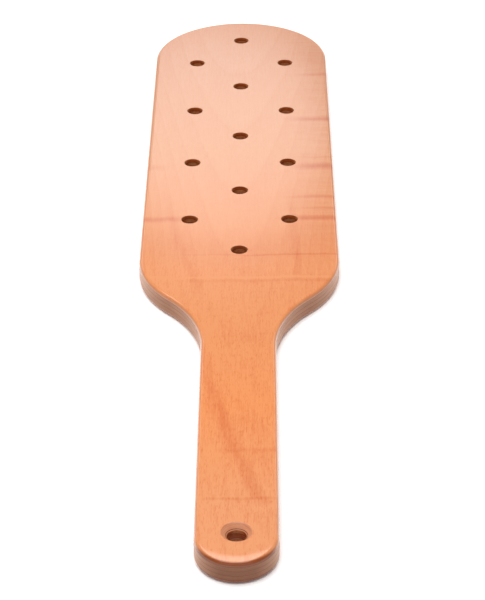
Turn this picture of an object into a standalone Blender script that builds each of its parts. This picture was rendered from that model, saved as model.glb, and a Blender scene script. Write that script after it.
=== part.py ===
"""A drilled wooden paddle bat: one flat board of five glued veneers, with its handle cut from the same board.

The board lies on its back face. +Y runs along the paddle from the handle's end to the head, +X is to the
right and +Z is up, out of the front face. The origin is under the middle of the board, on the surface that
it lies on. Every length is in metres.
"""

import math

import bmesh
import bpy
from mathutils import Matrix, Vector

# The board's outline
TOTAL_LENGTH = 0.509
BLADE_WIDTH = 0.0945
HANDLE_WIDTH = 0.0336
HANDLE_END_LENGTH = 0.018  # the handle's end is half an ellipse this long
SHOULDER_START = 0.2725  # from the head's tip to where the blade starts to narrow
SHOULDER_OUTER_RADIUS = 0.054
SHOULDER_INNER_RADIUS = 0.060
HEAD_POINTS = 25
HANDLE_END_POINTS = 13
SHOULDER_POINTS = 7

# The board's thickness, as a lay-up of veneers
BOARD_THICKNESS = 0.010
GLUE_GAP = 0.0003  # clearance kept between two veneers where the glue line is
EDGE_RADIUS = 0.002
EDGE_SEGMENTS = 3
VENEERS = ("back_face_veneer", "back_crossband", "core_veneer", "front_crossband", "front_face_veneer")

# The air holes, drilled through the blade in three columns
HOLE_DIAMETER = 0.008
COLUMN_SPACING = 0.0485  # between the two side columns, either side of the middle one
ROW_PITCH = 0.030  # holes sit in the middle column on even rows and in the side columns on odd rows
ROWS = 9
LAST_ROW_FROM_TIP = 0.0255
HOLE_SIDES = 16

# The hanging hole near the handle's end
HANGING_HOLE_FROM_END = 0.0205
COUNTERSINK_DIAMETER = 0.0123
COUNTERSINK_SIDES = 24
CUT_CLEARANCE = 0.002  # how far a cutter runs past the face that it cuts

# Veneer colours (linear), named for how the grain of that veneer runs
FACE_COLOUR = (0.84, 0.41, 0.20, 1.0)
LONG_GRAIN_COLOUR = (0.55, 0.27, 0.14, 1.0)
CROSS_GRAIN_COLOUR = (0.70, 0.42, 0.25, 1.0)

HEAD_TIP = TOTAL_LENGTH / 2
HANDLE_TIP = -TOTAL_LENGTH / 2
HALF_BLADE = BLADE_WIDTH / 2
HALF_HANDLE = HANDLE_WIDTH / 2
SHOULDER_Y = HEAD_TIP - SHOULDER_START


def collection(name):
    made = bpy.data.collections.new(name)
    bpy.context.scene.collection.children.link(made)
    return made


def wood(name, colour):
    """A lacquered wood: a satin Principled surface in one colour."""
    made = bpy.data.materials.new(name)
    made.use_nodes = True
    shader = made.node_tree.nodes["Principled BSDF"]
    shader.inputs["Base Color"].default_value = colour
    shader.inputs["Roughness"].default_value = 0.4
    shader.inputs["Metallic"].default_value = 0.0
    made.diffuse_color = colour
    return made


def arc(centre, radii, start, end, points):
    """Points on an arc of a circle or an ellipse, from the start angle to the end angle in degrees."""
    angles = [math.radians(start + (end - start) * i / (points - 1)) for i in range(points)]
    return [(centre[0] + radii[0] * math.cos(a), centre[1] + radii[1] * math.sin(a)) for a in angles]


def shoulder():
    """The right-hand shoulder from the blade down to the handle: an outward arc, then an inward one."""
    both_radii = SHOULDER_OUTER_RADIUS + SHOULDER_INNER_RADIUS
    turn = math.degrees(math.acos(1 - (HALF_BLADE - HALF_HANDLE) / both_radii))
    outer_centre = (HALF_BLADE - SHOULDER_OUTER_RADIUS, SHOULDER_Y)
    neck_y = SHOULDER_Y - both_radii * math.sin(math.radians(turn))
    inner_centre = (HALF_HANDLE + SHOULDER_INNER_RADIUS, neck_y)
    outer = arc(outer_centre, [SHOULDER_OUTER_RADIUS] * 2, 0, -turn, SHOULDER_POINTS)
    inner = arc(inner_centre, [SHOULDER_INNER_RADIUS] * 2, 180 - turn, 180, SHOULDER_POINTS)
    return outer + inner[1:]


def outline():
    """The board's outline, clockwise from the left end of the head's half circle."""
    head = arc((0, HEAD_TIP - HALF_BLADE), [HALF_BLADE] * 2, 180, 0, HEAD_POINTS)
    right = shoulder()
    end_centre = (0, HANDLE_TIP + HANDLE_END_LENGTH)
    end = arc(end_centre, (HALF_HANDLE, HANDLE_END_LENGTH), 0, -180, HANDLE_END_POINTS)
    left = [(-x, y) for x, y in reversed(right)]
    return head + right + end + left


def mesh_from_curve(curve_object, name):
    """The curve's evaluated mesh, with its caps welded on, as data for a new object."""
    bpy.context.view_layer.update()
    evaluated = curve_object.evaluated_get(bpy.context.evaluated_depsgraph_get())
    mesh = bpy.data.meshes.new_from_object(evaluated)
    mesh.name = name
    welded = bmesh.new()
    welded.from_mesh(mesh)
    bmesh.ops.remove_doubles(welded, verts=welded.verts, dist=1e-6)
    bmesh.ops.recalc_face_normals(welded, faces=welded.faces)
    welded.to_mesh(mesh)
    welded.free()
    return mesh


def board_mesh():
    """The whole board before it is split into veneers: the outline, extruded to the full thickness."""
    curve = bpy.data.curves.new("outline", "CURVE")
    curve.dimensions = "2D"
    curve.fill_mode = "BOTH"
    curve.extrude = BOARD_THICKNESS / 2
    points = outline()
    spline = curve.splines.new("POLY")
    spline.points.add(len(points) - 1)
    for point, (x, y) in zip(spline.points, points):
        point.co = (x, y, 0, 1)
    spline.use_cyclic_u = True
    flat = bpy.data.objects.new("outline", curve)
    bpy.context.scene.collection.objects.link(flat)
    mesh = mesh_from_curve(flat, "board")
    mesh.transform(Matrix.Translation((0, 0, BOARD_THICKNESS / 2)))
    bpy.data.objects.remove(flat)
    return mesh


def helper(name, mesh, into):
    """An object that only shapes others, so it is drawn as wires and never rendered."""
    made = bpy.data.objects.new(name, mesh)
    made.hide_render = True
    made.display_type = "WIRE"
    into.objects.link(made)
    return made


def hole_places():
    """The centres of the air holes, from the head down: the middle column first, then the side columns."""
    first_y = HEAD_TIP - LAST_ROW_FROM_TIP
    for row in range(ROWS):
        y = first_y - row * ROW_PITCH
        columns = (0,) if row % 2 == 0 else (-COLUMN_SPACING / 2, COLUMN_SPACING / 2)
        for x in columns:
            yield x, y


def drill(tool, centre, radii, heights, sides):
    """Adds a closed cylinder or cone to the tool, between two heights, with a radius at each."""
    middle = Matrix.Translation((centre[0], centre[1], (heights[0] + heights[1]) / 2))
    bmesh.ops.create_cone(
        tool,
        cap_ends=True,
        segments=sides,
        radius1=radii[0],
        radius2=radii[1],
        depth=heights[1] - heights[0],
        matrix=middle,
    )


def air_hole_drills():
    tool = bmesh.new()
    heights = (-CUT_CLEARANCE, BOARD_THICKNESS + CUT_CLEARANCE)
    for centre in hole_places():
        drill(tool, centre, (HOLE_DIAMETER / 2, HOLE_DIAMETER / 2), heights, HOLE_SIDES)
    mesh = bpy.data.meshes.new("air_hole_drills")
    tool.to_mesh(mesh)
    tool.free()
    return mesh


def hanging_hole_centre():
    return Vector((0, HANDLE_TIP + HANGING_HOLE_FROM_END, 0))


def hanging_hole_drill():
    tool = bmesh.new()
    radius = HOLE_DIAMETER / 2
    heights = (-CUT_CLEARANCE, BOARD_THICKNESS + CUT_CLEARANCE)
    drill(tool, hanging_hole_centre(), (radius, radius), heights, COUNTERSINK_SIDES)
    mesh = bpy.data.meshes.new("hanging_hole_drill")
    tool.to_mesh(mesh)
    tool.free()
    return mesh


def countersink_drill():
    """A 45 degree cone that stops inside the drilled hole and runs out past the front face."""
    tool = bmesh.new()
    tip_radius = HOLE_DIAMETER / 2 - CUT_CLEARANCE / 2
    depth = COUNTERSINK_DIAMETER / 2 - tip_radius
    heights = (BOARD_THICKNESS - depth, BOARD_THICKNESS + CUT_CLEARANCE)
    radii = (tip_radius, COUNTERSINK_DIAMETER / 2 + CUT_CLEARANCE)
    drill(tool, hanging_hole_centre(), radii, heights, COUNTERSINK_SIDES)
    mesh = bpy.data.meshes.new("countersink_drill")
    tool.to_mesh(mesh)
    tool.free()
    return mesh


def slab_mesh(name, low, high):
    """A block larger than the board in plan, between two heights."""
    block = bmesh.new()
    size = Vector((BLADE_WIDTH, TOTAL_LENGTH, 0)) * 1.2 + Vector((0, 0, high - low))
    placed = Matrix.Translation((0, 0, (low + high) / 2)) @ Matrix.Diagonal((*size, 1))
    bmesh.ops.create_cube(block, size=1, matrix=placed)
    mesh = bpy.data.meshes.new(name)
    block.to_mesh(mesh)
    block.free()
    return mesh


def veneer_heights(index):
    """The bottom and top of a veneer, counted up from the back face. The outer two run past the board."""
    thickness = (BOARD_THICKNESS - GLUE_GAP * (len(VENEERS) - 1)) / len(VENEERS)
    low = index * (thickness + GLUE_GAP)
    high = low + thickness
    if index == 0:
        low -= CUT_CLEARANCE
    if index == len(VENEERS) - 1:
        high += CUT_CLEARANCE
    return low, high


def boolean(obj, operation, other):
    cut = obj.modifiers.new(f"{operation.lower()}_{other.name}", "BOOLEAN")
    cut.operation = operation
    cut.solver = "EXACT"
    cut.object = other


def veneer(index, board, drills, parts, helpers, material):
    """One veneer of the board: its slab of the rounded board, with every hole drilled through it."""
    name = VENEERS[index]
    layer = bpy.data.objects.new(name, board.copy())
    parts.objects.link(layer)
    layer.data.materials.append(material)
    rounding = layer.modifiers.new("rounded_edges", "BEVEL")
    rounding.width = EDGE_RADIUS
    rounding.segments = EDGE_SEGMENTS
    rounding.limit_method = "ANGLE"
    rounding.angle_limit = math.radians(45)
    slab = helper(f"{name}_slab", slab_mesh(f"{name}_slab", *veneer_heights(index)), helpers)
    boolean(layer, "INTERSECT", slab)
    for tool in drills:
        boolean(layer, "DIFFERENCE", tool)
    return layer


def main():
    for obj in list(bpy.data.objects):
        bpy.data.objects.remove(obj)
    parts = collection("drilled_wooden_paddle")
    helpers = collection("cutters")
    face = wood("lacquered_beech_face", FACE_COLOUR)
    long_grain = wood("long_grain_veneer", LONG_GRAIN_COLOUR)
    cross_grain = wood("cross_grain_veneer", CROSS_GRAIN_COLOUR)
    materials = (face, cross_grain, long_grain, cross_grain, face)
    drills = [
        helper("air_hole_drills", air_hole_drills(), helpers),
        helper("hanging_hole_drill", hanging_hole_drill(), helpers),
    ]
    countersink = helper("countersink_drill", countersink_drill(), helpers)
    board = board_mesh()
    for index, material in enumerate(materials):
        tools = list(drills)
        if index >= len(VENEERS) - 2:
            tools.append(countersink)
        veneer(index, board, tools, parts, helpers, material)
    bpy.data.meshes.remove(board)


main()
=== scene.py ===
import math

import bmesh
import bpy
from mathutils import Matrix, Vector


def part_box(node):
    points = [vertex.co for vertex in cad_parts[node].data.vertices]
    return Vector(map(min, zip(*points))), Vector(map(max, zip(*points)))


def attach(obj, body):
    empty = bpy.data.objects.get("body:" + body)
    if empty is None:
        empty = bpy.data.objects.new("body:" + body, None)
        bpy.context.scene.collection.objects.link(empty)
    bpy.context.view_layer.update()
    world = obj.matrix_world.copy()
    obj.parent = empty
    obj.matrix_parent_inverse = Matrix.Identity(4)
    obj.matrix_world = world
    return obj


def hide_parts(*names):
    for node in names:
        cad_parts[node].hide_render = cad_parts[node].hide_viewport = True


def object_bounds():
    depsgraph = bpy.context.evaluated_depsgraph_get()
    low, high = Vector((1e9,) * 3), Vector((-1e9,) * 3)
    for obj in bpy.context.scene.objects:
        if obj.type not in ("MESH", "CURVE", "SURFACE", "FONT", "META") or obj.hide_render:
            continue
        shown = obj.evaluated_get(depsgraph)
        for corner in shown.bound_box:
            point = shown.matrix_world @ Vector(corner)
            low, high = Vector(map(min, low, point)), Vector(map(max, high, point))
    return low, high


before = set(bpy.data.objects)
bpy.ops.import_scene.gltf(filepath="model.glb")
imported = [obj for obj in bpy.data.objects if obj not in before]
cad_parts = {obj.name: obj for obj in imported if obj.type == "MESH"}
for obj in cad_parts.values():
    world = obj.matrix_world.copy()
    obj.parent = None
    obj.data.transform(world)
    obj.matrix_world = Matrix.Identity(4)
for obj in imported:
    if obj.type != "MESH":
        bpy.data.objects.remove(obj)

cad_low, cad_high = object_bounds()

# The board, in metres. Its overall size is the frame's.
HEAD_TIP = cad_high.y
HANDLE_TIP = cad_low.y
HALF_BLADE = (cad_high.x - cad_low.x) / 2
THICKNESS = cad_high.z - cad_low.z
HALF_HANDLE = 0.0168
HANDLE_END_LENGTH = 0.018  # the handle's end is half an ellipse this long
SHOULDER_Y = HEAD_TIP - 0.2725  # where the blade starts to narrow
SHOULDER_OUTER_RADIUS = 0.054
SHOULDER_INNER_RADIUS = 0.060
EDGE_RADIUS = 0.002
EDGE_SEGMENTS = 10
HEAD_STEPS = 48  # on half of the head
SHOULDER_STEPS = 20  # on each of a shoulder's two arcs
HANDLE_END_STEPS = 32  # on half of the handle's end

# The drilled holes
HOLE_RADIUS = 0.004
HOLE_EASE = 0.00025  # how far a drilled rim is eased
COLUMN_SPACING = 0.0485
ROW_PITCH = 0.030
HOLE_ROWS = 9
FIRST_ROW_Y = HEAD_TIP - 0.0255
HANGING_HOLE_Y = HANDLE_TIP + 0.0205
COUNTERSINK_RADIUS = 0.00615
HOLE_STEPS = 48
DRILLED, COUNTERSUNK = 1, 2  # a piece's second and third materials
WALL_MARGIN = 0.0001  # how far outside a bore's radius the middle of a wall face may be
WALL_LEAN = 0.3  # a bore's wall has less than this of its normal upwards or downwards
COUNTERSINK_LEAN = (0.5, 0.9)  # and a countersink has this much of its normal upwards

# The lay-up, from the back face up
VENEERS = ("back_face_veneer", "back_crossband", "core_veneer", "front_crossband", "front_face_veneer")
GLUE_LINES = ("back_glue_line", "inner_back_glue_line", "inner_front_glue_line", "front_glue_line")
GLUE_FILM = 0.0002  # about twice as thick as a real film, so that the line shows

# Tolerances
TOUCHING = 1e-6  # corners closer than this are the same corner
CUT_MARGIN = 1e-7
LEVEL = 0.9999  # a level face has at least this of its normal upwards or downwards
SHARP_CORNER = math.radians(25)

MM = 1000.0  # the materials' patterns are worked out in millimetres


# ---------------------------------------------------------------- camera

CAMERA_PLACE = (0.0091, HANDLE_TIP - 0.6877, 0.537)
CAMERA_LENS = 135.3  # millimetres, as the sensor's width is
CAMERA_SENSOR = 36
CAMERA_DOWN = 30.79  # degrees below level
CAMERA_PAN = 0.48
CAMERA_ROLL = -0.54


def point_camera():
    """Stands at the handle's end and looks down the paddle."""
    data = bpy.data.cameras.new("studio_camera")
    data.lens = CAMERA_LENS
    data.sensor_width = CAMERA_SENSOR
    data.clip_start = 0.05
    data.clip_end = 50
    camera = bpy.data.objects.new("studio_camera", data)
    bpy.context.scene.collection.objects.link(camera)
    turn = Matrix.Rotation(math.radians(CAMERA_PAN), 4, "Z")
    tilt = Matrix.Rotation(math.radians(90 - CAMERA_DOWN), 4, "X")
    roll = Matrix.Rotation(math.radians(CAMERA_ROLL), 4, "Z")
    place = Matrix.Translation(CAMERA_PLACE)
    camera.matrix_world = place @ turn @ tilt @ roll
    bpy.context.scene.camera = camera


# ---------------------------------------------------------------- mesh

def run_on(mesh, corner, centre, angle, steps):
    """Carries an outline on from a corner along an arc, and gives the arc's last corner."""
    swept = bmesh.ops.spin(
        mesh, geom=[corner], cent=centre, axis=(0, 0, 1), angle=math.radians(angle), steps=steps
    )
    return swept["geom_last"][0]


def straight_to(mesh, corner, place):
    """Carries an outline on from a corner along a straight line."""
    moved = bmesh.ops.extrude_vert_indiv(mesh, verts=[corner])["verts"][0]
    moved.co = place
    return moved


def board_outline(mesh):
    """The right half of the outline from the head's tip to the handle's tip, mirrored to the left."""
    both_radii = SHOULDER_OUTER_RADIUS + SHOULDER_INNER_RADIUS
    turn = math.acos(1 - (HALF_BLADE - HALF_HANDLE) / both_radii)
    neck_y = SHOULDER_Y - both_radii * math.sin(turn)
    end_y = HANDLE_TIP + HANDLE_END_LENGTH
    corner = mesh.verts.new((0, HEAD_TIP, 0))
    corner = run_on(mesh, corner, (0, HEAD_TIP - HALF_BLADE, 0), -90, HEAD_STEPS)
    corner = straight_to(mesh, corner, (HALF_BLADE, SHOULDER_Y, 0))
    outer = (HALF_BLADE - SHOULDER_OUTER_RADIUS, SHOULDER_Y, 0)
    corner = run_on(mesh, corner, outer, -math.degrees(turn), SHOULDER_STEPS)
    inner = (HALF_HANDLE + SHOULDER_INNER_RADIUS, neck_y, 0)
    corner = run_on(mesh, corner, inner, math.degrees(turn), SHOULDER_STEPS)
    corner = straight_to(mesh, corner, (HALF_HANDLE, end_y, 0))
    before = set(mesh.verts)
    run_on(mesh, corner, (0, end_y, 0), -90, HANDLE_END_STEPS)
    rounded_end = [vert for vert in mesh.verts if vert not in before]
    stretch = Matrix.Translation((0, end_y, 0)) @ Matrix.Diagonal(
        (1, HANDLE_END_LENGTH / HALF_HANDLE, 1, 1)
    ) @ Matrix.Translation((0, -end_y, 0))
    bmesh.ops.transform(mesh, matrix=stretch, verts=rounded_end)
    bmesh.ops.mirror(mesh, geom=mesh.verts[:] + mesh.edges[:], axis="X", merge_dist=TOUCHING)
    bmesh.ops.remove_doubles(mesh, verts=mesh.verts, dist=TOUCHING)
    bmesh.ops.contextual_create(mesh, geom=mesh.edges)


def at_height(edge, height):
    return all(abs(vert.co.z - height) < TOUCHING for vert in edge.verts)


def rounded_blank():
    """The sawn blank with both rims rounded over, and its two flat faces left open for the holes."""
    mesh = bmesh.new()
    board_outline(mesh)
    raised = bmesh.ops.extrude_face_region(mesh, geom=mesh.faces[:], use_keep_orig=True)
    top = [vert for vert in raised["geom"] if isinstance(vert, bmesh.types.BMVert)]
    bmesh.ops.translate(mesh, verts=top, vec=(0, 0, THICKNESS))
    bmesh.ops.recalc_face_normals(mesh, faces=mesh.faces)
    rims = [edge for edge in mesh.edges if at_height(edge, 0) or at_height(edge, THICKNESS)]
    bmesh.ops.bevel(
        mesh,
        geom=rims,
        offset=EDGE_RADIUS,
        offset_type="OFFSET",
        affect="EDGES",
        segments=EDGE_SEGMENTS,
        profile=0.5,
        material=-1,
    )
    flats = [face for face in mesh.faces if len(face.verts) > 4]
    bmesh.ops.delete(mesh, geom=flats, context="FACES_ONLY")
    return mesh


def eased_wall(radius, mouth_radius):
    """A hole's wall from the front face down to the back face, with both rims eased, as (radius, height)."""
    ease = HOLE_EASE
    soft = ease * (1 - math.sqrt(0.5))
    wall = [(mouth_radius + ease, THICKNESS), (mouth_radius + soft, THICKNESS - soft)]
    if mouth_radius > radius:
        lip = mouth_radius - ease / 2
        wall.append((lip, THICKNESS - ease))
        wall.append((radius, THICKNESS - ease - (lip - radius)))
    else:
        wall.append((radius, THICKNESS - ease))
    return wall + [(radius, ease), (radius + soft, soft), (radius + ease, 0)]


def bore(mesh, centre, radius, mouth_radius):
    """Turns a hole's wall round its axis."""
    corners = [mesh.verts.new((centre[0] + r, centre[1], z)) for r, z in eased_wall(radius, mouth_radius)]
    edges = [mesh.edges.new(pair) for pair in zip(corners, corners[1:])]
    bmesh.ops.spin(
        mesh,
        geom=corners + edges,
        cent=(centre[0], centre[1], 0),
        axis=(0, 0, 1),
        angle=2 * math.pi,
        steps=HOLE_STEPS,
        use_merge=True,
    )


def air_holes():
    """Where the air holes are: the middle column on even rows and the two side columns on odd rows."""
    for row in range(HOLE_ROWS):
        y = FIRST_ROW_Y - row * ROW_PITCH
        columns = (0,) if row % 2 == 0 else (-COLUMN_SPACING / 2, COLUMN_SPACING / 2)
        for x in columns:
            yield x, y


def mark_bores(mesh):
    """Gives the straight walls of the holes the drilled finish and the countersink its own."""
    centres = [Vector(centre) for centre in air_holes()] + [Vector((0, HANGING_HOLE_Y))]
    for face in mesh.faces:
        middle = face.calc_center_median().xy
        upright = abs(face.normal.z) < WALL_LEAN
        if upright and any((middle - centre).length < HOLE_RADIUS + WALL_MARGIN for centre in centres):
            face.material_index = DRILLED
        sloping = COUNTERSINK_LEAN[0] < face.normal.z < COUNTERSINK_LEAN[1]
        if sloping and (middle - centres[-1]).length < COUNTERSINK_RADIUS:
            face.material_index = COUNTERSUNK


def close_flat(mesh, height):
    """Fills the open flat at a height, round every hole in it."""
    open_edges = [edge for edge in mesh.edges if edge.is_boundary and at_height(edge, height)]
    bmesh.ops.triangle_fill(mesh, use_beauty=True, edges=open_edges, normal=(0, 0, 1))


def machined_board():
    """The whole board, rounded and drilled, as one closed mesh."""
    mesh = rounded_blank()
    for centre in air_holes():
        bore(mesh, centre, HOLE_RADIUS, HOLE_RADIUS)
    bore(mesh, (0, HANGING_HOLE_Y), HOLE_RADIUS, COUNTERSINK_RADIUS)
    close_flat(mesh, 0)
    close_flat(mesh, THICKNESS)
    bmesh.ops.recalc_face_normals(mesh, faces=mesh.faces)
    mark_bores(mesh)
    return mesh


def layer(board, low, high):
    """A copy of the board between two heights, closed where it is cut."""
    mesh = board.copy()
    for height, side in ((low, -1), (high, 1)):
        if 0 < height < THICKNESS:
            everything = mesh.verts[:] + mesh.edges[:] + mesh.faces[:]
            bmesh.ops.bisect_plane(
                mesh,
                geom=everything,
                dist=CUT_MARGIN,
                plane_co=(0, 0, height),
                plane_no=(0, 0, side),
                clear_outer=True,
            )
            close_flat(mesh, height)
    bmesh.ops.recalc_face_normals(mesh, faces=mesh.faces)
    return mesh


def piece_from(mesh, name, materials, replaced=None):
    """Makes a layer's mesh a piece that rides with the paddle, smooth except along its real corners."""
    for face in mesh.faces:
        face.smooth = True
    for edge in mesh.edges:
        flat_sides = [abs(face.normal.z) > LEVEL for face in edge.link_faces]
        corner = edge.calc_face_angle(0) > SHARP_CORNER
        edge.smooth = not (corner or (any(flat_sides) and not all(flat_sides)))
    data = bpy.data.meshes.new(name)
    mesh.to_mesh(data)
    mesh.free()
    for material in materials:
        data.materials.append(material)
    obj = bpy.data.objects.new(name, data)
    bpy.context.scene.collection.objects.link(obj)
    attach(obj, "root")
    if replaced:
        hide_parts(replaced)


# ---------------------------------------------------------------- materials

def linear(colour):
    """An sRGB hex colour as linear red, green, blue and alpha."""
    channels = [int(colour[i:i + 2], 16) / 255 for i in (1, 3, 5)]
    return tuple(c / 12.92 if c <= 0.04045 else ((c + 0.055) / 1.055) ** 2.4 for c in channels) + (1.0,)


def add(tree, kind, settings=None, inputs=None):
    """Adds a node with its settings and its inputs, each a value, a socket, or a node's first output."""
    node = tree.nodes.new(kind)
    for name, value in (settings or {}).items():
        setattr(node, name, value)
    for name, value in (inputs or {}).items():
        if isinstance(value, bpy.types.Node):
            value = value.outputs[0]
        if isinstance(value, bpy.types.NodeSocket):
            tree.links.new(value, node.inputs[name])
        else:
            node.inputs[name].default_value = value
    return node


# The numbered inputs of a Map Range node are 0 the value, 1 and 2 the range that it is read on, and 3 and 4
# what that range becomes. On a Mix node they are 0 the share, 2 and 3 two values, and 6 and 7 two colours.
PLUS = {"operation": "ADD"}
MINUS = {"operation": "SUBTRACT"}
TIMES = {"operation": "MULTIPLY"}
TIMES_PLUS = {"operation": "MULTIPLY_ADD"}
SIZE = {"operation": "ABSOLUTE"}
EASED = {"interpolation_type": "SMOOTHSTEP"}
COLOUR = {"data_type": "RGBA"}
STAIN = {"data_type": "RGBA", "blend_type": "MULTIPLY"}


def lacquered(name, coat, coat_roughness):
    """A surface under a brushed coat of clear lacquer. Returns the material, its nodes and its shader."""
    material = bpy.data.materials.new(name)
    material.use_nodes = True
    tree = material.node_tree
    shader = tree.nodes["Principled BSDF"]
    shader.inputs["IOR"].default_value = 1.5
    shader.inputs["Specular IOR Level"].default_value = 0.1
    shader.inputs["Coat Weight"].default_value = coat
    shader.inputs["Coat Roughness"].default_value = coat_roughness
    shader.inputs["Coat IOR"].default_value = 1.5
    return material, tree, shader


def place_in_mm(tree):
    """Object coordinates in millimetres, and the same split into X, Y and Z."""
    where = add(tree, "ShaderNodeTexCoord")
    to_mm = {"Vector": where.outputs["Object"], "Scale": (MM, MM, MM)}
    scaled = add(tree, "ShaderNodeMapping", inputs=to_mm)
    return scaled, add(tree, "ShaderNodeSeparateXYZ", inputs={0: scaled})


def facing_along(tree, axis):
    """How squarely the surface faces along an axis, either way: 0 not at all, 1 fully."""
    facing = add(tree, "ShaderNodeTexCoord").outputs["Normal"]
    facing = add(tree, "ShaderNodeSeparateXYZ", inputs={0: facing})
    return add(tree, "ShaderNodeMath", SIZE, {0: facing.outputs[axis]})


def grain_marks(tree, place, size, seed, detail=2):
    """Soft marks in the wood, each about size millimetres long on each axis."""
    scale = tuple(1 / length for length in size)
    stretched = add(tree, "ShaderNodeMapping", inputs={"Vector": place, "Location": seed, "Scale": scale})
    marks = {"Vector": stretched, "Scale": 1, "Detail": detail, "Roughness": 0.55}
    return add(tree, "ShaderNodeTexNoise", inputs=marks)


def growth_rings(tree, place, axes, rings):
    """How far a point is through its growth ring, 0 to 1. The rings cross the face as nested arches."""
    wander = grain_marks(tree, place, (28, 90, 28), rings["seed"])
    wander = add(tree, "ShaderNodeMath", TIMES_PLUS, {0: wander, 1: 16, 2: -8})
    drift = {1: rings["drift_from"], 2: rings["drift_to"], 3: rings["middle"], 4: rings["drifted"]}
    middle = add(tree, "ShaderNodeMapRange", EASED, {0: axes.outputs["Y"], **drift})
    aside = add(tree, "ShaderNodeMath", MINUS, {0: axes.outputs["X"], 1: middle})
    square = add(tree, "ShaderNodeMath", TIMES, {0: aside, 1: aside})
    opening = {1: 40, 2: 185, 3: rings["bend"], 4: rings["bend"] * 0.6}
    bend = add(tree, "ShaderNodeMapRange", inputs={0: axes.outputs["Y"], **opening})
    rise = add(tree, "ShaderNodeMath", TIMES, {0: square, 1: bend})
    along = add(tree, "ShaderNodeMath", MINUS, {0: axes.outputs["Y"], 1: rise})
    along = add(tree, "ShaderNodeMath", PLUS, {0: along, 1: wander})
    count = {1: 1 / rings["spacing"], 2: -rings["first"] / rings["spacing"]}
    turns = add(tree, "ShaderNodeMath", TIMES_PLUS, {0: along, **count})
    return add(tree, "ShaderNodeMath", {"operation": "FRACT"}, {0: turns})


def cross_ripple(tree, place, axes, bands):
    """Bands across the grain, each given as its middle Y, its half width, the X where it starts, the X where
    it is full, and its depth, which is below zero on a paler band."""
    waver = grain_marks(tree, place, (22, 60, 22), (3, 1, 0))
    waver = add(tree, "ShaderNodeMath", TIMES_PLUS, {0: waver, 1: 5, 2: -2.5})
    height = add(tree, "ShaderNodeMath", PLUS, {0: axes.outputs["Y"], 1: waver})
    total = 0.0
    for middle, half_width, start, full, depth in bands:
        away = add(tree, "ShaderNodeMath", MINUS, {0: height, 1: middle})
        away = add(tree, "ShaderNodeMath", SIZE, {0: away})
        across = add(tree, "ShaderNodeMapRange", EASED, {0: away, 1: half_width * 2, 2: 0, 3: 0, 4: depth})
        along = add(tree, "ShaderNodeMapRange", EASED, {0: axes.outputs["X"], 1: start, 2: full, 3: 0, 4: 1})
        total = add(tree, "ShaderNodeMath", TIMES_PLUS, {0: across, 1: along, 2: total})
    return total


def curl_and_side_shade(tree, place, axes, side):
    """Close ripples along one side of the blade, the wood's curl, over a tone that deepens towards that side
    as painted shade.
    """
    ripples = grain_marks(tree, place, (26, 3.2, 26), side["seed"])
    ripples = add(tree, "ShaderNodeMapRange", EASED, {0: ripples, 1: 0.35, 2: 0.7, 3: 0, 4: side["ripple"]})
    deep = add(tree, "ShaderNodeMath", PLUS, {0: ripples, 1: side["depth"]})
    sideways = {1: side["from_x"], 2: side["to_x"], 3: 0, 4: 1}
    near_edge = add(tree, "ShaderNodeMapRange", EASED, {0: axes.outputs["X"], **sideways})
    upwards = {1: side["from_y"], 2: side["to_y"], 3: 0, 4: 1}
    on_blade = add(tree, "ShaderNodeMapRange", EASED, {0: axes.outputs["Y"], **upwards})
    where = add(tree, "ShaderNodeMath", TIMES, {0: near_edge, 1: on_blade})
    return add(tree, "ShaderNodeMath", TIMES, {0: deep, 1: where})


def slanting_streak(tree, place, axes, streak):
    """One darker streak that slants along the board, curving a little, and fades out at both ends."""
    down = add(tree, "ShaderNodeMath", MINUS, {0: streak["top"], 1: axes.outputs["Y"]})
    slope = add(tree, "ShaderNodeMath", TIMES_PLUS, {0: down, 1: streak["curve"], 2: streak["slope"]})
    path = add(tree, "ShaderNodeMath", TIMES_PLUS, {0: slope, 1: down, 2: streak["start_x"]})
    away = add(tree, "ShaderNodeMath", MINUS, {0: axes.outputs["X"], 1: path})
    waver = grain_marks(tree, place, (5, 14, 5), (6, 2, 9))
    waver = add(tree, "ShaderNodeMath", TIMES_PLUS, {0: waver, 1: 3.5, 2: -1.75})
    away = add(tree, "ShaderNodeMath", PLUS, {0: away, 1: waver})
    away = add(tree, "ShaderNodeMath", SIZE, {0: away})
    across = {1: streak["half_width"], 2: 0.5, 3: 0, 4: streak["depth"]}
    band = add(tree, "ShaderNodeMapRange", EASED, {0: away, **across})
    begun = add(tree, "ShaderNodeMapRange", EASED, {0: down, 1: -45, 2: 10, 3: 0, 4: 1})
    fading = {1: streak["length"], 2: streak["length"] - 14, 3: 0, 4: 1}
    ended = add(tree, "ShaderNodeMapRange", EASED, {0: down, **fading})
    along = add(tree, "ShaderNodeMath", TIMES, {0: begun, 1: ended})
    return add(tree, "ShaderNodeMath", TIMES, {0: band, 1: along})


END_FALL = 0.00058  # metres


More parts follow.
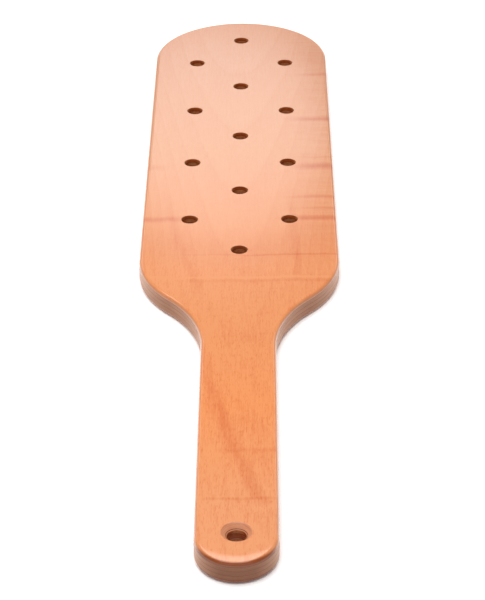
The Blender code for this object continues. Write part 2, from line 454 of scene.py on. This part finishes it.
def handle_end_fall(tree, axes):
    """The face falling away over the last 8 mm before the handle's round end. It is only a bump."""
    end_starts = (HANDLE_TIP + HANDLE_END_LENGTH) * MM
    past = add(tree, "ShaderNodeMath", MINUS, {0: axes.outputs["Y"], 1: end_starts})
    past = add(tree, "ShaderNodeMath", {"operation": "MINIMUM"}, {0: past, 1: 0})
    past = add(tree, "ShaderNodeMath", TIMES, {0: past, 1: 1 / (HANDLE_END_LENGTH * MM)})
    aside = add(tree, "ShaderNodeMath", TIMES, {0: axes.outputs["X"], 1: 1 / (HALF_HANDLE * MM)})
    out = add(tree, "ShaderNodeCombineXYZ", inputs={0: aside, 1: past})
    out = add(tree, "ShaderNodeVectorMath", {"operation": "LENGTH"}, {0: out})
    out = out.outputs["Value"]
    near_rim = add(tree, "ShaderNodeMapRange", inputs={0: out, 1: 0.55, 2: 1, 3: 0, 4: 1})
    near_end = add(tree, "ShaderNodeMapRange", EASED, {0: axes.outputs["Y"], 1: -210, 2: -236, 3: 0, 4: 1})
    drop = add(tree, "ShaderNodeMath", TIMES, {0: near_rim, 1: near_rim})
    drop = add(tree, "ShaderNodeMath", TIMES, {0: drop, 1: near_end})
    fall = {"Strength": 1, "Distance": END_FALL, "Height": drop}
    return add(tree, "ShaderNodeBump", {"invert": True}, fall)


def ring_tones(tree, ring):
    """How dark each part of a growth ring is: it deepens slowly, then ends in a dark line."""
    tones = add(tree, "ShaderNodeValToRGB", inputs={0: ring})
    stops = tones.color_ramp.elements
    stops[0].position, stops[0].color = 0.0, (0.45, 0.45, 0.45, 1)
    stops[1].position, stops[1].color = 1.0, (0.5, 0.5, 0.5, 1)
    for position, tone in ((0.09, 0.0), (0.3, 0.2), (0.8, 0.5), (0.92, 0.7), (0.965, 0.95)):
        stops.new(position).color = (tone, tone, tone, 1)
    return tones


def figure_depth(tree, place, axes, fibres, figure):
    """How deep in tone the figure of a face veneer is at each point."""
    ring_tone = ring_tones(tree, growth_rings(tree, place, axes, figure["rings"]))
    rays = grain_marks(tree, place, (0.45, 2.6, 0.45), figure["seed"], 0)
    rays = add(tree, "ShaderNodeMapRange", inputs={0: rays, 1: 0.6, 2: 0.72, 3: 0, 4: 1})
    mottle = grain_marks(tree, place, (2.4, 4.5, 2.4), figure["seed"])
    streaks = grain_marks(tree, place, (3.6, 120, 3.6), figure["seed"])
    patches = grain_marks(tree, place, (26, 48, 26), figure["seed"])
    shares = ((rays, 0.25), (fibres, 0.85), (mottle, 0.5), (streaks, 0.4), (patches, 0.5))
    figured = -1.17  # about the marks' average together, so that they lighten as well as darken
    for marks, share in shares:
        figured = add(tree, "ShaderNodeMath", TIMES_PLUS, {0: marks, 1: share, 2: figured})
    # The figure shows more on the handle than on the blade
    to_handle = {1: 40, 2: -110, 3: 0.3, 4: 1.15}
    handled = add(tree, "ShaderNodeMapRange", EASED, {0: axes.outputs["Y"], **to_handle})
    depth = add(tree, "ShaderNodeMath", TIMES_PLUS, {0: figured, 1: handled, 2: 0.04})
    depth = add(tree, "ShaderNodeMath", TIMES_PLUS, {0: ring_tone, 1: 0.17, 2: depth})
    parts = [slanting_streak(tree, place, axes, streak) for streak in figure["streaks"]]
    parts.append(cross_ripple(tree, place, axes, figure["ripple"]))
    parts.append(curl_and_side_shade(tree, place, axes, figure["curl_and_shade"]))
    for part in parts:
        depth = add(tree, "ShaderNodeMath", PLUS, {0: depth, 1: part})
    return depth


def colour_along_board(tree, axes, colours):
    """The colour along the board, from (Y in millimetres, colour) pairs that start at the handle's end."""
    low, high = cad_low.y * MM, cad_high.y * MM
    along = add(tree, "ShaderNodeMapRange", inputs={0: axes.outputs["Y"], 1: low, 2: high, 3: 0, 4: 1})
    wood = add(tree, "ShaderNodeValToRGB", inputs={0: along})
    first, *others = colours
    stops = wood.color_ramp.elements
    stops.remove(stops[1])
    stops[0].position, stops[0].color = (first[0] - low) / (high - low), linear(first[1])
    for y, colour in others:
        stops.new((y - low) / (high - low)).color = linear(colour)
    return wood


def edge_shade_and_end_grain(tree, axes, grained):
    """The face's colour carried over the rounded edge, where it is mixed towards a dull grey-brown: painted
    shade with a pale painted sheen. Towards the board's ends it is made much deeper and redder, most of all
    at the handle's end: partly the end grain, which drinks more lacquer, and partly painted shade."""
    # Deeper towards the board's ends: end grain, and painted shade that is strongest at the handle's end
    end_on = facing_along(tree, "Y")
    end_on = add(tree, "ShaderNodeMapRange", EASED, {0: end_on, 1: 0.14, 2: 0.55, 3: 0, 4: 1})
    to_end = {1: -215, 2: -240, 3: 0.15, 4: 1}
    shade_at_end = add(tree, "ShaderNodeMapRange", EASED, {0: axes.outputs["Y"], **to_end})
    end_grain_and_shade = add(tree, "ShaderNodeMath", TIMES, {0: end_on, 1: shade_at_end})
    # Duller over the rounded edge: painted shade with a pale painted sheen
    edge = facing_along(tree, "Z")
    edge = add(tree, "ShaderNodeMapRange", EASED, {0: edge, 1: 0.93, 2: 0.45, 3: 0, 4: 0.7})
    edge_shade_mix = {0: edge, 6: grained.outputs[2], 7: linear("#AA7A5F")}
    edge_shaded = add(tree, "ShaderNodeMix", COLOUR, edge_shade_mix)
    deep = {0: end_grain_and_shade, 6: edge_shaded.outputs[2], 7: linear("#AF8145")}
    return add(tree, "ShaderNodeMix", STAIN, deep)


def face_wood(name, figure):
    """Clear-lacquered beech veneer, cut round the log. It gives broad pale arches of growth rings, fine
    lengthwise fibres, short dark rays, and a ripple across the grain. The lacquer is brushed on and glossy
    enough for a soft glare."""
    material, tree, shader = lacquered(name, coat=1.0, coat_roughness=0.13)
    place, axes = place_in_mm(tree)
    fibres = grain_marks(tree, place, (0.6, 9, 0.6), figure["seed"], 3)
    depth = figure_depth(tree, place, axes, fibres, figure)
    wood = colour_along_board(tree, axes, figure["colours"])
    stained = {0: depth, 6: wood.outputs[0], 7: linear("#E7B381")}
    grained = add(tree, "ShaderNodeMix", STAIN, stained)
    end_grain_and_shade = edge_shade_and_end_grain(tree, axes, grained)
    tree.links.new(end_grain_and_shade.outputs[2], shader.inputs["Base Color"])
    rough = add(tree, "ShaderNodeMapRange", inputs={0: fibres, 1: 0.2, 2: 0.8, 3: 0.4, 4: 0.55})
    tree.links.new(rough.outputs[0], shader.inputs["Roughness"])
    # The coat has a normal of its own, so the fall has to reach both
    fall = handle_end_fall(tree, axes)
    tree.links.new(fall.outputs[0], shader.inputs["Coat Normal"])
    open_grain = {"Strength": 0.06, "Distance": 0.0001, "Height": fibres, "Normal": fall}
    pores = add(tree, "ShaderNodeBump", inputs=open_grain)
    tree.links.new(pores.outputs[0], shader.inputs["Normal"])
    return material


def edge_wood(name, side_colour, shaded_end_colour, seed):
    """Cut and sanded beech, streaky and without a face's figure. It is the edge of an inner veneer, or the
    slope of the countersink. Its faces towards the board's two ends take a deeper colour: painted shade, and
    on the core veneer also the end grain, which has drunk more lacquer."""
    material, tree, shader = lacquered(name, coat=0.5, coat_roughness=0.3)
    place, _ = place_in_mm(tree)
    # The second colour, on faces towards the board's ends, is painted shade, and end grain on the core
    # veneer
    end_on = facing_along(tree, "Y")
    end_on = add(tree, "ShaderNodeMapRange", inputs={0: end_on, 1: 0.25, 2: 0.9, 3: 0, 4: 1})
    lines = grain_marks(tree, place, (9, 9, 0.28), seed)
    pores = grain_marks(tree, place, (0.5, 0.5, 0.35), seed)
    grain = add(tree, "ShaderNodeMix", {"data_type": "FLOAT"}, {0: 0.35, 2: lines, 3: pores})
    tones = {0: end_on, 6: linear(side_colour), 7: linear(shaded_end_colour)}
    wood = add(tree, "ShaderNodeMix", COLOUR, tones)
    depth = add(tree, "ShaderNodeMapRange", inputs={0: grain.outputs[0], 1: 0.3, 2: 0.7, 3: 0.55, 4: 0})
    grained = add(tree, "ShaderNodeMix", STAIN, {0: depth, 6: wood.outputs[2], 7: linear("#B98566")})
    tree.links.new(grained.outputs[2], shader.inputs["Base Color"])
    rough = add(tree, "ShaderNodeMapRange", inputs={0: pores, 1: 0.3, 2: 0.7, 3: 0.45, 4: 0.62})
    tree.links.new(rough.outputs[0], shader.inputs["Roughness"])
    raised = {"Strength": 0.15, "Distance": 0.0001, "Height": grain.outputs[0]}
    relief = add(tree, "ShaderNodeBump", inputs=raised)
    tree.links.new(relief.outputs[0], shader.inputs["Normal"])
    return material


def drilled_wood(name, grain):
    """The wall that a bit leaves in beech: torn fibres, browned by the heat and dark with lacquer, ringed by
    the turns of the bit. It is darkest where the bit cut across the grain, which runs along the named axis.
    The rings are 0.5 mm apart, coarser than real ones, so that they show."""
    material, tree, shader = lacquered(name, coat=0.4, coat_roughness=0.3)
    place, _ = place_in_mm(tree)
    end_on = facing_along(tree, grain)
    end_on = add(tree, "ShaderNodeMapRange", EASED, {0: end_on, 1: 0.3, 2: 0.9, 3: 0, 4: 1})
    turns = grain_marks(tree, place, (8, 8, 0.5), (5, 5, 0))
    torn = grain_marks(tree, place, (0.9, 0.9, 0.9), (1, 6, 2))
    marks = add(tree, "ShaderNodeMix", {"data_type": "FLOAT"}, {0: 0.4, 2: turns, 3: torn})
    depth = add(tree, "ShaderNodeMapRange", inputs={0: marks.outputs[0], 1: 0.3, 2: 0.7, 3: 0, 4: 1})
    wood = add(tree, "ShaderNodeMix", COLOUR, {0: end_on, 6: linear("#C28555"), 7: linear("#AA5924")})
    browned = add(tree, "ShaderNodeMix", STAIN, {0: depth, 6: wood.outputs[2], 7: linear("#C08A60")})
    tree.links.new(browned.outputs[2], shader.inputs["Base Color"])
    rough = add(tree, "ShaderNodeMapRange", inputs={0: torn, 1: 0.3, 2: 0.7, 3: 0.5, 4: 0.7})
    tree.links.new(rough.outputs[0], shader.inputs["Roughness"])
    raised = {"Strength": 0.2, "Distance": 0.0001, "Height": marks.outputs[0]}
    relief = add(tree, "ShaderNodeBump", inputs=raised)
    tree.links.new(relief.outputs[0], shader.inputs["Normal"])
    return material


def glue(name):
    """Phenolic glue: a thin dark red-brown line between two veneers, smooth under the lacquer."""
    material, tree, shader = lacquered(name, coat=0.5, coat_roughness=0.3)
    place, _ = place_in_mm(tree)
    mottle = grain_marks(tree, place, (3, 3, 3), (0, 0, 0))
    tone = add(tree, "ShaderNodeMix", COLOUR, {0: mottle, 6: linear("#4E200F"), 7: linear("#74391E")})
    tree.links.new(tone.outputs[2], shader.inputs["Base Color"])
    rough = add(tree, "ShaderNodeMapRange", inputs={0: mottle, 1: 0.3, 2: 0.7, 3: 0.35, 4: 0.5})
    tree.links.new(rough.outputs[0], shader.inputs["Roughness"])
    return material


# ---------------------------------------------------------------- the paddle

# How each face veneer is figured, in millimetres on the board
FRONT_FIGURE = {
    "seed": (0, 0, 0),
    # The colour along the board, from orange at the handle to pinker at the head: partly the wood's own
    # colour and partly painted light, more orange towards the handle to make up for the lamps giving less
    # light there
    "colours": (
        (-215, "#C98253"),
        (-145, "#CC7C41"),
        (-90, "#C77B45"),
        (-30, "#C77D4A"),
        (95, "#B97D53"),
        (215, "#B17854"),
    ),
    "rings": {
        "seed": (11, 4, 0),
        "middle": -1.0,
        "drifted": 12.0,
        "drift_from": -40,
        "drift_to": -200,
        "bend": 0.18,
        "spacing": 68,
        "first": 185,
    },
    "ripple": (
        (183, 1.8, 24, 44, 0.40),
        (128, 2.2, 20, 38, 0.75),
        (84, 1.0, 22, 40, 0.35),
        (74, 2.6, 22, 36, 0.66),
        (74, 2.6, -30, -48, 0.30),
        (41, 1.5, 18, 38, 0.52),
        (29, 0.8, 20, 40, 0.30),
        (19, 2.0, 12, 34, 0.70),
        (19, 2.2, -16, -36, 0.60),
        (-8, 13.0, -60, -59, 0.12),
        (-16, 0.7, -50, 30, 0.42),
        (-37, 0.8, -60, -59, -0.30),
        (-40, 1.2, -40, 0, 0.24),
        (-178, 1.4, -16, 4, 0.28),
        (-212, 0.9, -18, -10, 0.28),
    ),
    "curl_and_shade": {
        "seed": (2, 7, 4),
        "from_x": 16,
        "to_x": 44,
        "from_y": -30,
        "to_y": 30,
        "ripple": 0.20,
        # A shade deeper towards the right edge: painted shade, where the glare falls off
        "depth": 0.02,
    },
    "streaks": (
        {"top": -124, "start_x": -13, "slope": 0.18, "curve": 0.0008,
         "half_width": 5.2, "length": 98, "depth": 0.40},
        {"top": 20, "start_x": 26, "slope": 0.03, "curve": 0,
         "half_width": 3.2, "length": 66, "depth": 0.24},
        {"top": 10, "start_x": -31, "slope": 0.16, "curve": 0.001,
         "half_width": 3.2, "length": 62, "depth": 0.22},
    ),
}
BACK_FIGURE = {
    "seed": (17, 5, 3),
    "colours": (
        (-200, "#CE814D"),
        (-60, "#CB804B"),
        (60, "#C37F52"),
        (200, "#BD7E56"),
    ),
    "rings": {
        "seed": (2, 31, 5),
        "middle": 9.0,
        "drifted": -4.0,
        "drift_from": -40,
        "drift_to": -200,
        "bend": 0.12,
        "spacing": 57,
        "first": 150,
    },
    "ripple": (
        (160, 2.2, -20, -40, 0.30),
        (96, 1.6, -14, -38, 0.30),
        (52, 2.4, 18, 40, 0.25),
        (-20, 1.2, -10, -36, 0.20),
        (-150, 1.0, -4, 12, 0.18),
    ),
    "curl_and_shade": {
        "seed": (9, 3, 1),
        "from_x": -18,
        "to_x": -44,
        "from_y": -20,
        "to_y": 40,
        "ripple": 0.25,
        "depth": 0.10,
    },
    "streaks": (
        {"top": -110, "start_x": 12, "slope": -0.15, "curve": -0.0006,
         "half_width": 4, "length": 80, "depth": 0.3},
        {"top": 60, "start_x": 30, "slope": -0.04, "curve": 0,
         "half_width": 3, "length": 70, "depth": 0.2},
    ),
}


def build_paddle():
    board = machined_board()
    # The second colour of each inner edge, on its faces towards the board's ends, is darkened as painted
    # shade
    across = edge_wood("beech_crossband_edge", "#BA855E", "#865739", (4, 9, 1))
    along = edge_wood("beech_core_edge", "#C08A62", "#845538", (8, 2, 6))
    drilled_across = drilled_wood("drilled_crossband", "X")
    drilled_along = drilled_wood("drilled_beech", "Y")
    countersunk = edge_wood("countersunk_beech", "#CE8F6A", "#C88963", (3, 3, 8))
    back = face_wood("lacquered_beech_back", BACK_FIGURE)
    front = face_wood("lacquered_beech_front", FRONT_FIGURE)
    finishes = {
        "back_face_veneer": (back, drilled_along, "face_veneer"),
        "back_crossband": (across, drilled_across, "cross_grain_veneer"),
        "core_veneer": (along, drilled_along, "long_grain_veneer"),
        "front_crossband": (across, drilled_across, "cross_grain_veneer"),
        "front_face_veneer": (front, drilled_along, "face_veneer"),
    }
    boxes = [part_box(name) for name in VENEERS]
    joints = [(below[1].z + above[0].z) / 2 for below, above in zip(boxes, boxes[1:])]
    lows = [0.0] + [z + GLUE_FILM / 2 for z in joints]
    highs = [z - GLUE_FILM / 2 for z in joints] + [THICKNESS]
    for name, low, high in zip(VENEERS, lows, highs):
        wood, drilled, slot = finishes[name]
        materials = (wood, drilled, countersunk)
        piece_from(layer(board, low, high), name + "_wood", materials, replaced=name)
    film = glue("phenolic_glue_line")
    for name, z in zip(GLUE_LINES, joints):
        mesh = layer(board, z - GLUE_FILM / 2, z + GLUE_FILM / 2)
        piece_from(mesh, name, (film, film, film))
    board.free()


# ---------------------------------------------------------------- studio

FLOOR_RADIUS = 8
FLOOR_SIDES = 96
FLOOR_GAP = 0.0001  # keeps the floor clear of the back face
AIR_STRENGTH = 0.33


def plain_material(name, colour, roughness):
    material = bpy.data.materials.new(name)
    material.use_nodes = True
    shader = material.node_tree.nodes["Principled BSDF"]
    shader.inputs["Base Color"].default_value = linear(colour)
    shader.inputs["Roughness"].default_value = roughness
    shader.inputs["Specular IOR Level"].default_value = 0.0
    return material


def build_floor():
    mesh = bmesh.new()
    bmesh.ops.create_circle(mesh, cap_ends=True, segments=FLOOR_SIDES, radius=FLOOR_RADIUS)
    data = bpy.data.meshes.new("floor")
    mesh.to_mesh(data)
    mesh.free()
    data.materials.append(plain_material("white_paper", "#FCFCFC", 1.0))
    floor = bpy.data.objects.new("floor", data)
    floor.location.z = -FLOOR_GAP
    bpy.context.scene.collection.objects.link(floor)


def softbox(name, shape, place, aim, size, watts):
    """An area light, its size in metres, aimed at a point and not seen by the camera itself."""
    data = bpy.data.lights.new(name, "AREA")
    data.shape = shape
    data.size, data.size_y = size
    data.energy = watts
    light = bpy.data.objects.new(name, data)
    light.location = place
    light.rotation_euler = (Vector(aim) - Vector(place)).to_track_quat("-Z", "Y").to_euler()
    light.visible_camera = False
    bpy.context.scene.collection.objects.link(light)


def build_studio():
    """White paper under soft lights. The lacquer mirrors the round back light as a glare on the blade."""
    build_floor()
    softbox("overhead_softbox", "RECTANGLE", (-0.2, 0.18, 1.6), (-0.2, 0.18, 0.0), (1.8, 2.4), 51.5)
    softbox("round_back_light", "ELLIPSE", (-0.045, 1.9, 0.905), (0.0, 0.1, 0.0), (0.31, 0.31), 0.54)
    softbox("left_back_strip", "RECTANGLE", (-0.85, 1.9, 0.92), (0.0, 0.1, 0.0), (1.0, 0.28), 1.4)
    softbox("right_back_strip", "RECTANGLE", (0.85, 1.9, 0.92), (0.0, 0.1, 0.0), (1.0, 0.28), 1.4)
    softbox("front_fill", "RECTANGLE", (0.0, -2.6, 1.2), (0.0, -0.2, 0.0), (5.0, 1.4), 12)
    softbox("white_sweep", "RECTANGLE", (0.0, 2.4, 0.36), (0.0, 0.0, 0.36), (1.6, 0.7), 5)
    world = bpy.data.worlds.new("studio_air")
    world.use_nodes = True
    air = world.node_tree.nodes["Background"]
    air.inputs["Color"].default_value = (1, 1, 1, 1)
    air.inputs["Strength"].default_value = AIR_STRENGTH
    bpy.context.scene.world = world
    bpy.context.scene.view_settings.view_transform = "Standard"


point_camera()
build_paddle()
build_studio()
